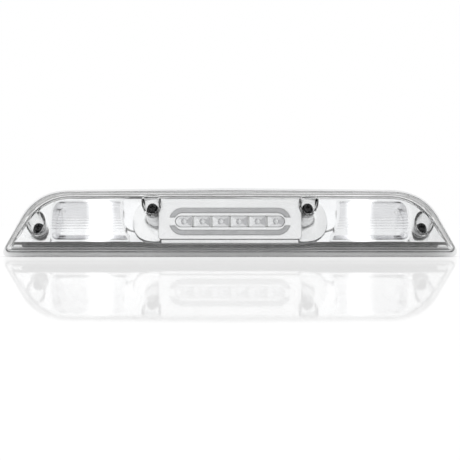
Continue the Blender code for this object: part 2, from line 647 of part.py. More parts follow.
def jumper_lead(side, word):
    """Lead from the brake board to the cargo board, through the channel behind the bezel's side plate."""
    channel_y = lambda z: z * TAN - 6.4 / COS
    stops = [(57.0, BOARD_Y[1] + GAP, -8.0), (57.4, BOARD_Y[1] + 4.0, -8.6), (60.5, channel_y(-9.5), -9.5),
             (70.0, channel_y(-10.0), -10.0), (86.0, channel_y(-10.0), -10.0), (97.0, channel_y(-8.0), -8.0),
             (103.6, TAN * -4.0 - 7.7 / COS, -4.0)]
    knots = [Vector((side * x, y, z)) * MM for x, y, z in stops]
    padded = [knots[0] * 2 - knots[1]] + knots + [knots[-1] * 2 - knots[-2]]
    path = []
    for a, b, c, d in zip(padded, padded[1:], padded[2:], padded[3:]):
        for step in range(4):
            t = step / 4
            path.append(0.5 * (2 * b + (c - a) * t + (2 * a - 5 * b + 4 * c - d) * t ** 2
                               + (3 * b - a - 3 * c + d) * t ** 3))
    path.append(knots[-1])
    curve = bpy.data.curves.new(f"jumper_lead_{word}", "CURVE")
    curve.dimensions = "3D"
    curve.bevel_depth = 0.9 * MM
    curve.bevel_resolution = 1
    curve.use_fill_caps = True
    curve.materials.append(material("lead_jacket"))
    spline = curve.splines.new("POLY")
    spline.points.add(len(path) - 1)
    for point, place in zip(spline.points, path):
        point.co = (*place, 1.0)
    add_object(f"jumper_lead_{word}", curve)


def build():
    for thing in list(bpy.data.objects):
        bpy.data.objects.remove(thing, do_unlink=True)
    frames = {key: screw_frame(key) for key in SCREW_X}
    bpy.context.view_layer.update()
    lens_cover(frames)
    rear_housing(frames)
    lower_light_shield()
    mounting_gasket()
    centre_bezel(frames)
    light_bars()
    brake_optics()
    brake_board()
    brake_leds()
    connector()
    for key, frame in frames.items():
        screw_set(key, frame)
    for side, word in ((-1, "left"), (1, "right")):
        cargo_reflector(side, word)
        cargo_lamp(side, word)
        end_bezel(side, word, frames[f"outer_{word}"])
        vent_cap(side, word)
        jumper_lead(side, word)


build()
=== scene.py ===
import json
import math
from collections import namedtuple

import bmesh
import bpy
from mathutils import Matrix, Vector

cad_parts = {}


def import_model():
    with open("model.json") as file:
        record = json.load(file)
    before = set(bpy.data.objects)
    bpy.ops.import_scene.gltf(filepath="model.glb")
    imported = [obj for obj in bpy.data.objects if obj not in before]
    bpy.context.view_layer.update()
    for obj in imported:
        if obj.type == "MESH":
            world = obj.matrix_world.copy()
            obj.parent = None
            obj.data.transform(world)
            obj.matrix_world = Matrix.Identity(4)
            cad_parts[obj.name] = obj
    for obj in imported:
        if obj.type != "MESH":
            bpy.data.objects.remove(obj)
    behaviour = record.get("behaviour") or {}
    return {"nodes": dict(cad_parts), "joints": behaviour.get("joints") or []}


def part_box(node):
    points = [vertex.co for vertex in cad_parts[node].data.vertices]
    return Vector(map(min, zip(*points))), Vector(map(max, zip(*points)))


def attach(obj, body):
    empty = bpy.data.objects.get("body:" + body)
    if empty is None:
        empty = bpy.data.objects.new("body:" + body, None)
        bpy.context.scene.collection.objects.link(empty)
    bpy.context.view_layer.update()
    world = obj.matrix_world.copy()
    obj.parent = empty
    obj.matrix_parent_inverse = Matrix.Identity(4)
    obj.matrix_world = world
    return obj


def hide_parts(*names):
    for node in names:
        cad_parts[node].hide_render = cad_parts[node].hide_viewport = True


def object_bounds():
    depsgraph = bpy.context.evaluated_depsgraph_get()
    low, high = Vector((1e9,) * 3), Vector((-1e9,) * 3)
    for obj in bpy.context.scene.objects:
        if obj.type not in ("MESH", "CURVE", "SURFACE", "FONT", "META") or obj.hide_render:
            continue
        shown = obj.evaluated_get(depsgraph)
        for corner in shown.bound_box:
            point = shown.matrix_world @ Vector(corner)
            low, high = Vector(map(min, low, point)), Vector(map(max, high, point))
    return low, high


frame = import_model()
cad_low, cad_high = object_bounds()

# Driving dimensions, mm --------------------------------------------------------------------------
MM = 0.001
TURNS = {j["child"].replace("screw_", ""): j for j in frame["joints"] if j["type"] == "hinge"}
AXIS = Vector(TURNS["outer_left"]["axis"])
COS, SIN = -AXIS.y, AXIS.z
TAN = SIN / COS
GAP = 0.3

LENS_FACE_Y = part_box("lens_cover")[0].y / MM
LENS_WALL = 2.4
LENS_REAR_H, LENS_RIM_H = 5.3, 7.6
HOUSING_REAR_H, HOUSING_FRONT_H = 2.6, 5.0
PLATE_H = (7.7, 9.2)
CENTRE_STEP = (68.6, 83.3)
WINDOW_Z = 1.0

CUP_MOUTH_R, CUP_FLOOR_R, CUP_WALL = 8.1, 6.4, 1.4
CUP_DEPTH, CUP_FLOOR = 23.2, 2.8
CUP_DROOP, MOUTH_SHARE = 0.55, 0.8
SLEEVE_R, SPIGOT_R, BORE_R = 5.5, 5.3, 3.1
HEAD_R, HEAD_T, SHANK_R = 5.15, 5.0, 2.5

BEZEL_HALF_X, BEZEL_Z, BEZEL_T = 68.6, (-16.2, 22.5), 2.2
BEZEL_FRONT_Y = -31.0
BAR_R, BAR_INNER_R, BAR_HALF_X, BAR_END_Z = 12.9, 8.3, 58.2, 4.1
WINDOW_R, WINDOW_HALF_X = 5.2, 52.3
OPTIC_PITCH, OPTIC_HALF_X, OPTIC_COUNT = 17.6, 8.3, 6
OPTIC_SINK, OPTIC_DOME, OPTIC_DOME_R2 = 2.4, 1.9, 6.8

CARGO_X = (96.0, 172.0)
CARGO_LED_X = 127.5
REFLECTOR_FRONT_Y = -34.2
REFLECTOR_FLOOR_H = (9.0, 10.4)
REFLECTOR_SCREW = (163.5, 6.6)
FLUTE_PITCH, FLUTE_DEPTH = 2.6, 0.22
BACKING_H, POST_ROOM_R, SLEEVE_ROOM_R = (5.35, 6.3), 3.4, 7.9
EMITTER_H, DAM_R, PHOSPHOR_R = 8.5 + GAP, 7.85, 5.3
GROMMET_NECK_R, GROMMET_FLANGE_R = 7.4, 10.5
THREAD_PITCH, THREAD_DEPTH, PLAIN_SHANK = 1.4, 0.4, 7.0
SIDES = ((-1, "left"), (1, "right"))

Outline = namedtuple("Outline", ("corner", "radius", "slope", "handle_low", "handle_high", "shoulder",
                                 "crown", "base", "centre_base"))
LENS_RIM = Outline((213.6, -24.4), 4.5, (204.0, 5.7), (196.0, 21.7), (181.0, 30.9), (158.0, 30.7),
                   32.2, -28.9, -28.9)
HOUSING_RIM = Outline((215.3, -27.8), 5.2, (205.6, 6.4), (197.6, 23.2), (181.6, 32.8), (158.0, 32.6),
                      34.3, -33.0, -33.0)
LENS_FACE = Outline((206.2, -20.1), 1.2, (201.2, -9.8), (190.0, 9.5), (176.0, 25.0), (151.0, 25.1),
                    25.2, -21.3, -22.8)


# Stage, m ------------------------------------------------------------------------------------------
# The floor's sheen, and a painted contact shadow under the lamp: its front, back and side edges, m, then
# its sheen and tone.
PAINTED_SHADOW_FRONT, PAINTED_SHADOW_BACK, PAINTED_SHADOW_SIDE = (-0.03, -0.025), (-0.015, 0.012), (0.205, 0.225)
FLOOR_GLOSS, PAINTED_SHADOW_GLOSS, PAINTED_SHADOW_TONE = 0.34, 0.06, (0.06, 0.06, 0.06)
FLOOR_HALF, FLOOR_DROP = 6.0, 0.0001
FRONT_LIGHT, BACK_LIGHT, SIDE_LIGHT = 1.0, 1.02, 0.85
CAMERA_DISTANCE, CAMERA_LENS, CAMERA_SHIFT = 0.970, 76.7, -0.0163


# Points and outlines -----------------------------------------------------------------------------

def upright(points, y):
    """Lift (x, z) points onto the upright plane at y."""
    return [Vector((x, y, z)) * MM for x, z in points]


def tilted(points, h):
    """Lift (x, z) points onto the plane parallel to the panel at height h."""
    return [Vector((x, z * TAN - h / COS, z)) * MM for x, z in points]


def panel(points, h):
    """Lift (x, v) points, v measured up the panel, onto the tilted plane at height h."""
    return [Vector((x, v * SIN - h * COS, v * COS + h * SIN)) * MM for x, v in points]


def circle(radius, segments=64, centre=(0.0, 0.0)):
    turn = 2 * math.pi / segments
    return [(centre[0] + radius * math.cos(turn * i), centre[1] + radius * math.sin(turn * i))
            for i in range(segments)]


def arc(centre, radius, start, end, steps):
    angles = [math.radians(start + (end - start) * i / steps) for i in range(steps + 1)]
    return [(centre[0] + radius * math.cos(a), centre[1] + radius * math.sin(a)) for a in angles]


def bezier(p0, p1, p2, p3, steps):
    points = []
    for i in range(1, steps + 1):
        t = i / steps
        weights = ((1 - t) ** 3, 3 * t * (1 - t) ** 2, 3 * t * t * (1 - t), t ** 3)
        points.append(tuple(sum(w * p[k] for w, p in zip(weights, (p0, p1, p2, p3))) for k in (0, 1)))
    return points


def shrunk(rim, d):
    """The outline moved inwards by d all round."""
    radius = max(rim.radius - d, 0.4)
    shift = d - (rim.radius - radius)

    def move(point, dx, dz):
        return point[0] - dx * d, point[1] - dz * d

    return Outline((rim.corner[0] - shift, rim.corner[1] + shift), radius, move(rim.slope, 0.9, 0.4),
                   move(rim.handle_low, 0.85, 0.6), move(rim.handle_high, 0.35, 0.95),
                   move(rim.shoulder, 0.0, 1.0), rim.crown - d, rim.base + d, rim.centre_base + d)


def outline(rim):
    """Closed (x, z) outline of a rim, anticlockwise as seen from in front."""
    inner, outer = CENTRE_STEP
    middle = 0.5 * (rim.centre_base + rim.base)
    right = [(inner - 3.0, rim.centre_base),
             (inner + 1.5, rim.centre_base + 0.15 * (middle - rim.centre_base)),
             (0.5 * (inner + outer), middle), (outer - 1.5, rim.base - 0.15 * (rim.base - middle)),
             (outer + 3.0, rim.base)]
    right += arc(rim.corner, rim.radius, -90, 26, 12)
    right += [rim.slope]
    right += bezier(rim.slope, rim.handle_low, rim.handle_high, rim.shoulder, 26)
    left = [(-x, z) for x, z in reversed(right)]
    return right + [(0.0, rim.crown)] + left


def rounded_box(x0, x1, z0, z1, radius, steps=8):
    points = arc((x1 - radius, z0 + radius), radius, -90, 0, steps)
    points += arc((x1 - radius, z1 - radius), radius, 0, 90, steps)
    points += arc((x0 + radius, z1 - radius), radius, 90, 180, steps)
    points += arc((x0 + radius, z0 + radius), radius, 180, 270, steps)
    return points


def resampled(points, count):
    """The closed outline as count evenly spaced points."""
    loop = points + points[:1]
    lengths = [math.dist(a, b) for a, b in zip(loop, loop[1:])]
    total, placed, travelled, k = sum(lengths), [], 0.0, 0
    for i in range(count):
        goal = total * i / count
        while travelled + lengths[k] < goal:
            travelled += lengths[k]
            k += 1
        t = (goal - travelled) / max(lengths[k], 1e-9)
        placed.append(tuple(a + (b - a) * t for a, b in zip(loop[k], loop[k + 1])))
    return placed


def scaled_about(points, centre, factor_x, factor_z):
    middle_x, middle_z = centre
    return [(middle_x + (x - middle_x) * factor_x, middle_z + (z - middle_z) * factor_z) for x, z in points]


def mirrored(points, side):
    return [(side * x, z) for x, z in points]


# Meshes ------------------------------------------------------------------------------------------

def mesh_of(name, rings, closed=False):
    """Skin rings of equal count into one solid: capped at both ends, or closed into a loop."""
    bm = bmesh.new()
    loops = [[bm.verts.new(point) for point in ring] for ring in rings]
    count = len(loops[0])
    pairs = list(zip(loops, loops[1:]))
    if closed:
        pairs.append((loops[-1], loops[0]))
    for lower, upper in pairs:
        for i in range(count):
            j = (i + 1) % count
            bm.faces.new((lower[i], lower[j], upper[j], upper[i]))
    if not closed:
        bm.faces.new(loops[0])
        bm.faces.new(loops[-1])
    bmesh.ops.recalc_face_normals(bm, faces=bm.faces)
    mesh = bpy.data.meshes.new(name)
    bm.to_mesh(mesh)
    bm.free()
    return mesh


def solid(name, rings, closed=False):
    thing = bpy.data.objects.new(name, mesh_of(name, rings, closed))
    bpy.context.scene.collection.objects.link(thing)
    return thing


def evaluated(thing):
    """Bake the object's modifiers into its mesh."""
    graph = bpy.context.evaluated_depsgraph_get()
    mesh = bpy.data.meshes.new_from_object(thing.evaluated_get(graph))
    thing.modifiers.clear()
    thing.data = mesh
    return thing


def combine(thing, operation, *tools):
    """Boolean the tools into the object, then drop them."""
    for tool in tools:
        step = thing.modifiers.new(tool.name, "BOOLEAN")
        step.operation = operation
        step.solver = "EXACT"
        step.object = tool
    evaluated(thing)
    for tool in tools:
        bpy.data.objects.remove(tool)
    return thing


def smooth(thing, angle=32.0):
    thing.data.shade_smooth()
    thing.data.set_sharp_from_angle(angle=math.radians(angle))
    return thing


def bevelled(thing, width, segments=3, angle=32.0):
    """Round the sharp edges of a cut mesh, after its loose cuts are cleaned."""
    bm = bmesh.new()
    bm.from_mesh(thing.data)
    bmesh.ops.remove_doubles(bm, verts=bm.verts, dist=2e-6)
    bmesh.ops.dissolve_limit(bm, angle_limit=math.radians(1.0), verts=bm.verts, edges=bm.edges)
    bm.to_mesh(thing.data)
    bm.free()
    step = thing.modifiers.new("edge", "BEVEL")
    step.width = width * MM
    step.segments = segments
    step.limit_method = "ANGLE"
    step.angle_limit = math.radians(angle)
    step.use_clamp_overlap = True
    step.harden_normals = False
    evaluated(thing)
    return smooth(thing)


def dress(thing, finish, body="root", replaces=()):
    """Give a piece its material and the body it rides on, and hide the CAD nodes it stands for."""
    thing.data.materials.clear()
    thing.data.materials.append(finish)
    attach(thing, body)
    if replaces:
        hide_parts(*replaces)
    return thing


def refined(node, width, finish, body="root", segments=2):
    """The CAD node's own shape with its edges rounded."""
    source = frame["nodes"][node]
    thing = bpy.data.objects.new(f"{node}_shell", source.data.copy())
    bpy.context.scene.collection.objects.link(thing)
    for attribute in ("custom_normal", "sharp_edge"):
        if attribute in thing.data.attributes:
            thing.data.attributes.remove(thing.data.attributes[attribute])
    bevelled(thing, width, segments)
    return dress(thing, finish, body, (node,))


# Materials ---------------------------------------------------------------------------------------

class Nodes:
    """A material's node tree with short calls for what these finishes share."""

    def __init__(self, name):
        self.material = bpy.data.materials.new(name)
        self.material.use_nodes = True
        self.tree = self.material.node_tree
        self.shader = self.tree.nodes["Principled BSDF"]
        self.place = self.tree.nodes.new("ShaderNodeTexCoord").outputs["Object"]

    def add(self, kind, **values):
        node = self.tree.nodes.new(kind)
        for key, value in values.items():
            if key in node.inputs:
                node.inputs[key].default_value = value
            else:
                setattr(node, key, value)
        return node

    def link(self, source, target):
        self.tree.links.new(source, target)

    def stretched(self, scale):
        mapping = self.add("ShaderNodeMapping")
        mapping.inputs["Scale"].default_value = scale
        self.link(self.place, mapping.inputs["Vector"])
        return mapping.outputs["Vector"]

    def noise(self, scale, detail=3.0, stretch=(1, 1, 1)):
        node = self.add("ShaderNodeTexNoise", Scale=scale, Detail=detail)
        self.link(self.stretched(stretch), node.inputs["Vector"])
        return node.outputs["Fac"]

    def ranged(self, source, low, high, start=0.3, end=0.7):
        node = self.add("ShaderNodeMapRange")
        for key, value in (("From Min", start), ("From Max", end), ("To Min", low), ("To Max", high)):
            node.inputs[key].default_value = value
        self.link(source, node.inputs["Value"])
        return node.outputs["Result"]

    def mixed(self, factor, first, second):
        node = self.add("ShaderNodeMix", data_type="RGBA")
        for socket, value in ((node.inputs[6], first), (node.inputs[7], second)):
            if isinstance(value, tuple):
                socket.default_value = (*value, 1.0)
            else:
                self.link(value, socket)
        self.link(factor, node.inputs[0])
        return node.outputs[2]

    def bump(self, height, strength, distance, normal=None):
        node = self.add("ShaderNodeBump", Strength=strength, Distance=distance * MM)
        self.link(height, node.inputs["Height"])
        if normal is not None:
            self.link(normal, node.inputs["Normal"])
        return node.outputs["Normal"]


def finish(name, light, dark, rough, metallic=0.0, mottle=60.0, grain=900.0, depth=0.02, strength=0.3,
           stretch=(1, 1, 1), wear=None, lit=None, **sockets):
    """Principled finish: mottled colour, uneven gloss, fine bump, and a worn tone on its edges.

    Given a half width, mm, and strength, the finish paints a glow: emission in a vertical column through
    each cargo emitter, a painted highlight in place of the emitter's light reflected on the flutes.
    """
    n = Nodes(name)
    colour = n.mixed(n.ranged(n.noise(mottle, 5.0, stretch), 0.0, 1.0), light, dark)
    if wear is not None:
        edge = n.add("ShaderNodeNewGeometry").outputs["Pointiness"]
        colour = n.mixed(n.ranged(edge, 0.0, 0.6, 0.52, 0.6), colour, wear)
    n.link(colour, n.shader.inputs["Base Color"])
    n.link(n.ranged(n.noise(mottle * 3.1, 4.0, stretch), *rough), n.shader.inputs["Roughness"])
    n.link(n.bump(n.noise(grain, 2.0, stretch), strength, depth), n.shader.inputs["Normal"])
    n.shader.inputs["Metallic"].default_value = metallic
    # Painted highlight: emission in a vertical column at each cargo emitter, standing in for its light
    # reflected on the fluted surfaces.
    if lit is not None:
        split = n.add("ShaderNodeSeparateXYZ")
        n.link(n.place, split.inputs[0])
        away = split.outputs["X"]
        for operation, amount in (("ABSOLUTE", 0.0), ("SUBTRACT", CARGO_LED_X * MM), ("ABSOLUTE", 0.0)):
            step = n.add("ShaderNodeMath", operation=operation)
            n.link(away, step.inputs[0])
            step.inputs[1].default_value = amount
            away = step.outputs[0]
        n.link(n.ranged(away, lit[1], 0.0, 0.55 * lit[0] * MM, 1.5 * lit[0] * MM),
               n.shader.inputs["Emission Strength"])
        n.shader.inputs["Emission Color"].default_value = (1.0, 1.0, 1.0, 1.0)
    for key, value in sockets.items():
        n.shader.inputs[key.replace("_", " ")].default_value = value
    return n.material


def lamp_through(material_nodes, tint):
    """Let lamp light through a clear piece: shadow rays pass straight on, slightly dimmed."""
    n = material_nodes
    ray = n.add("ShaderNodeLightPath").outputs["Is Shadow Ray"]
    clear = n.add("ShaderNodeBsdfTransparent")
    clear.inputs["Color"].default_value = (*tint, 1.0)
    mix = n.add("ShaderNodeMixShader")
    n.link(ray, mix.inputs[0])
    n.link(n.shader.outputs[0], mix.inputs[1])
    n.link(clear.outputs[0], mix.inputs[2])
    output = next(node for node in n.tree.nodes if node.type == "OUTPUT_MATERIAL")
    n.link(mix.outputs[0], output.inputs["Surface"])


def clear_plastic(name, tint, ior, rough, wave=0.015):
    """Moulded clear plastic with faint flow waves and a slight haze."""
    n = Nodes(name)
    n.shader.inputs["Transmission Weight"].default_value = 1.0
    n.shader.inputs["IOR"].default_value = ior
    n.link(n.mixed(n.ranged(n.noise(14.0), 0.0, 1.0), tint, tuple(0.985 * c for c in tint)),
           n.shader.inputs["Base Color"])
    n.link(n.ranged(n.noise(70.0, 4.0), *rough), n.shader.inputs["Roughness"])
    n.link(n.bump(n.noise(26.0, 2.0, (0.35, 1.0, 1.0)), 0.12, wave), n.shader.inputs["Normal"])
    lamp_through(n, tuple(0.97 * c for c in tint))
    return n.material


def glowing(name, colour, strength):
    """Phosphor with a fine speckle, glowing from inside."""
    n = Nodes(name)
    tone = n.mixed(n.ranged(n.noise(1400.0, 2.0), 0.0, 1.0), colour, tuple(0.9 * c for c in colour))
    n.link(tone, n.shader.inputs["Base Color"])
    n.link(tone, n.shader.inputs["Emission Color"])
    n.shader.inputs["Emission Strength"].default_value = strength
    n.shader.inputs["Roughness"].default_value = 0.4
    n.link(n.bump(n.noise(1800.0), 0.2, 0.02), n.shader.inputs["Normal"])
    return n.material


def faceted_painted_glints(name):
    """Silvered optic with painted highlights: facets that face right are painted light and facets that face
    left painted dark, as if lit from one side.
    """
    n = Nodes(name)
    way = n.add("ShaderNodeSeparateXYZ")
    n.link(n.add("ShaderNodeNewGeometry").outputs["Normal"], way.inputs[0])
    # Painted highlight and shade: the colour is set by which way each facet faces.
    painted_glint_mask = n.ranged(way.outputs["X"], 0.0, 1.0, -0.22, 0.22)
    tone = n.mixed(painted_glint_mask, (0.46, 0.46, 0.47), (0.88, 0.88, 0.89))
    speck = n.mixed(n.ranged(n.noise(700.0, 3.0), 0.0, 0.35), tone, (0.5, 0.5, 0.51))
    n.link(speck, n.shader.inputs["Base Color"])
    n.link(n.ranged(n.noise(260.0), 0.1, 0.2), n.shader.inputs["Roughness"])
    n.link(n.bump(n.noise(900.0, 2.0), 0.2, 0.01), n.shader.inputs["Normal"])
    n.shader.inputs["Metallic"].default_value = 0.9
    return n.material


def foam():
    """Closed-cell foam: dark skin broken by small round cells, painted darker in their pits as shade."""
    n = Nodes("foam_cells")
    cells = n.add("ShaderNodeTexVoronoi", Scale=1100.0)
    n.link(n.stretched((1, 1, 1)), cells.inputs["Vector"])
    pit_depth_and_shade = n.ranged(cells.outputs["Distance"], 0.0, 1.0, 0.1, 0.6)
    # Painted shade: the cells are darker towards their sunk centres.
    n.link(n.mixed(pit_depth_and_shade, (0.012, 0.012, 0.013), (0.05, 0.05, 0.053)), n.shader.inputs["Base Color"])
    n.link(n.ranged(n.noise(200.0), 0.8, 0.95), n.shader.inputs["Roughness"])
    n.link(n.bump(pit_depth_and_shade, 0.6, 0.15), n.shader.inputs["Normal"])
    n.shader.inputs["Specular IOR Level"].default_value = 0.3
    return n.material


FINISH = {
    "clear_lens": clear_plastic("lens_polycarbonate", (0.985, 0.99, 0.99), 1.42, (0.0, 0.02)),
    "optic_clear": faceted_painted_glints("optic_silvered"),
    "light_bar": finish("bar_frosted", (0.58, 0.58, 0.59), (0.52, 0.52, 0.53), (0.22, 0.34), mottle=40.0,
                        Coat_Weight=0.3, Coat_Roughness=0.1),
    "housing_plastic": finish("housing_grained", (0.9, 0.905, 0.91), (0.86, 0.865, 0.87), (0.42, 0.6),
                              mottle=45.0, grain=1500.0, depth=0.06, strength=0.5,
                              wear=(0.93, 0.93, 0.93)),
    "gasket_foam": foam(),
    "bezel_chrome": finish("bezel_metallised", (0.87, 0.87, 0.875), (0.83, 0.83, 0.835), (0.16, 0.26),
                           1.0, mottle=30.0, grain=500.0, depth=0.01, strength=0.15),
    # The aluminised finish carries the painted glow column at each cargo emitter.
    "reflector_chrome": finish("reflector_aluminised", (0.9, 0.9, 0.91), (0.86, 0.86, 0.87), (0.1, 0.17),
                               1.0, mottle=50.0, grain=700.0, depth=0.012, strength=0.2,
                               lit=(9.5, 0.45)),
    "board_white": finish("board_solder_mask", (0.84, 0.85, 0.84), (0.76, 0.77, 0.76), (0.3, 0.45),
                          mottle=120.0, grain=1600.0, depth=0.02),
    "led_phosphor": glowing("cargo_phosphor", (1.0, 0.98, 0.93), 1.5),
    "led_red": finish("brake_emitter", (0.74, 0.7, 0.68), (0.6, 0.55, 0.53), (0.2, 0.32), mottle=500.0),
    "screw_black": finish("screw_coated", (0.006, 0.006, 0.007), (0.014, 0.014, 0.015), (0.22, 0.38),
                          0.2, mottle=260.0, grain=1500.0, depth=0.02, wear=(0.05, 0.05, 0.05)),
    "washer_rubber": finish("seal_rubber", (0.016, 0.016, 0.017), (0.03, 0.03, 0.031), (0.6, 0.8),
                            mottle=200.0, grain=1300.0, depth=0.04),
    "small_steel": finish("zinc_steel", (0.74, 0.75, 0.76), (0.6, 0.61, 0.63), (0.22, 0.4), 1.0,
                          mottle=300.0, grain=900.0),
    "terminal_brass": finish("tin_brass", (0.78, 0.62, 0.32), (0.66, 0.5, 0.25), (0.2, 0.36), 1.0,
                             mottle=400.0),
    "connector_black": finish("black_nylon", (0.02, 0.02, 0.022), (0.032, 0.032, 0.034), (0.38, 0.55),
                              mottle=90.0, grain=1500.0, depth=0.05, wear=(0.06, 0.06, 0.062)),
    "chip_black": finish("moulding_compound", (0.022, 0.022, 0.024), (0.04, 0.04, 0.042), (0.45, 0.6),
                         mottle=600.0, grain=2600.0),
    "lead_jacket": finish("lead_pvc", (0.85, 0.85, 0.84), (0.78, 0.78, 0.77), (0.35, 0.5), mottle=160.0),
}


# Screws and their cups ---------------------------------------------------------------------------

def place_of(key):
    """The screw's axis at the panel, with local Z pointing out."""
    turn = Matrix(((1, 0, 0), (0, SIN, -COS), (0, COS, SIN))).to_4x4()
    return Matrix.Translation(Vector(TURNS[key]["pos_m"])) @ turn


def turned(key, profile, segments=64):
    """Rings about the screw's axis from (height, radius) pairs."""
    place = place_of(key)
    return [[place @ (Vector((x, y, h)) * MM) for x, y in circle(radius, segments)]
            for h, radius in profile]


def reach(node, key):
    """Lowest and highest point of a CAD node along a screw's axis, mm above the panel."""
    origin = Vector(TURNS[key]["pos_m"])
    heights = [(v.co - origin).dot(AXIS) / MM for v in frame["nodes"][node].data.vertices]
    return min(heights), max(heights)


def mouth_height(key):
    """Where the screw's axis crosses the lens face."""
    return (LENS_FACE_Y * MM - Vector(TURNS[key]["pos_m"]).y) / AXIS.y / MM


def drooped(key, rings):
    """Cup rings drawn out downwards towards the mouth, so that the head shows from straight behind."""
    mouth = mouth_height(key)
    floor = mouth - CUP_DEPTH
    place = place_of(key)
    back = place.inverted()
    for ring in rings:
        for i, point in enumerate(ring):
            local = back @ point
            share = (local.z / MM - floor) / CUP_DEPTH
            if local.y < 0 and share > 0:
                local.y *= 1 + CUP_DROOP * share
                ring[i] = place @ local
    return rings


def cup_outside(key, extra, overrun=8.0):
    mouth = mouth_height(key)
    floor = mouth - CUP_DEPTH
    flare = (CUP_MOUTH_R - CUP_FLOOR_R) / CUP_DEPTH
    wide = CUP_FLOOR_R + CUP_WALL + extra
    under, sleeve = floor - CUP_FLOOR, SLEEVE_R + extra
    profile = [(1.0, sleeve), (under - 0.6, sleeve), (under - 0.2, sleeve + 0.2), (under, sleeve + 0.7),
               (under, wide - 0.7), (under + 0.2, wide - 0.2), (under + 0.7, wide),
               (mouth + overrun, CUP_MOUTH_R + CUP_WALL + extra + overrun * flare)]
    return drooped(key, turned(key, profile))


def cup_inside(key, overrun=8.0):
    mouth = mouth_height(key)
    floor = mouth - CUP_DEPTH
    flare = (CUP_MOUTH_R - CUP_FLOOR_R) / CUP_DEPTH
    profile = [(-4.0, BORE_R), (floor, BORE_R), (floor, CUP_FLOOR_R - 0.5),
               (floor + 0.15, CUP_FLOOR_R - 0.15), (floor + 0.5, CUP_FLOOR_R),
               (mouth + overrun, CUP_MOUTH_R + overrun * flare)]
    return drooped(key, turned(key, profile))


def mouth_lip(key):
    """Chamfer where the cup breaks through the upright lens face."""
    mouth = Vector(TURNS[key]["pos_m"]) + AXIS * mouth_height(key) * MM
    rings = []
    for depth, grow in ((-1.0, 1.7), (0.0, 0.7), (0.25, 0.35), (0.7, 0.05), (1.0, -0.1)):
        ring = []
        for x, z in circle(1.0, 64):
            tall = (CUP_MOUTH_R * (1 + CUP_DROOP * MOUTH_SHARE if z < 0 else 1) + grow) / COS
            ring.append(Vector((mouth.x + x * (CUP_MOUTH_R + grow) * MM, (LENS_FACE_Y + depth) * MM,
                                mouth.z - depth * TAN * MM + z * tall * MM)))
        rings.append(ring)
    return rings


def lens_shell():
    """Clear moulding: rim flange, drafted walls, rounded face edge, four cups with spigots."""
    radius, inner_radius = 1.5, 0.8
    rim_edge = 0.35
    rim, eased = outline(LENS_RIM), outline(shrunk(LENS_RIM, rim_edge))
    outer = [tilted(eased, LENS_REAR_H), tilted(rim, LENS_REAR_H + rim_edge),
             tilted(rim, LENS_RIM_H - rim_edge), tilted(eased, LENS_RIM_H)]
    for step in range(8):
        turn = math.radians(90 * step / 7)
        outer.append(upright(outline(shrunk(LENS_FACE, radius * (1 - math.cos(turn)))),
                             LENS_FACE_Y + radius * (1 - math.sin(turn))))
    cavity = [tilted(outline(shrunk(LENS_RIM, LENS_WALL)), LENS_REAR_H - 1.5),
              tilted(outline(shrunk(LENS_RIM, LENS_WALL)), LENS_RIM_H)]
    for step in range(5):
        turn = math.radians(90 * step / 4)
        inset = LENS_WALL + inner_radius * (1 - math.cos(turn))
        cavity.append(upright(outline(shrunk(LENS_FACE, inset)),
                              LENS_FACE_Y + LENS_WALL + inner_radius * (1 - math.sin(turn))))
    hollow = solid("hollow", cavity)
    combine(hollow, "DIFFERENCE", *[solid(f"cup_{key}", cup_outside(key, 0.0)) for key in TURNS])
    lens = combine(solid("lens_moulding", outer), "DIFFERENCE", hollow)
    spigot = [(0.0, SPIGOT_R - 0.3), (0.3, SPIGOT_R), (LENS_RIM_H + 1.0, SPIGOT_R)]
    combine(lens, "UNION", *[solid(f"spigot_{key}", turned(key, spigot)) for key in TURNS])
    combine(lens, "DIFFERENCE", *[solid(f"bore_{key}", cup_inside(key)) for key in TURNS])
    combine(lens, "DIFFERENCE", *[solid(f"lip_{key}", mouth_lip(key)) for key in TURNS])
    dress(smooth(lens, 28.0), FINISH["clear_lens"], replaces=("lens_cover",))


def seal_bead():
    """Dark sealant that bonds the lens flange to the housing."""
    wide, narrow = 1.1, LENS_WALL - 0.2
    low, high = HOUSING_FRONT_H, LENS_REAR_H + 0.02
    rings = [tilted(outline(shrunk(LENS_RIM, inset)), h)
             for inset, h in ((wide, low), (wide, high), (narrow, high), (narrow, low))]
    bead = smooth(solid("lens_sealant_bead", rings, closed=True))
    dress(bead, FINISH["washer_rubber"])


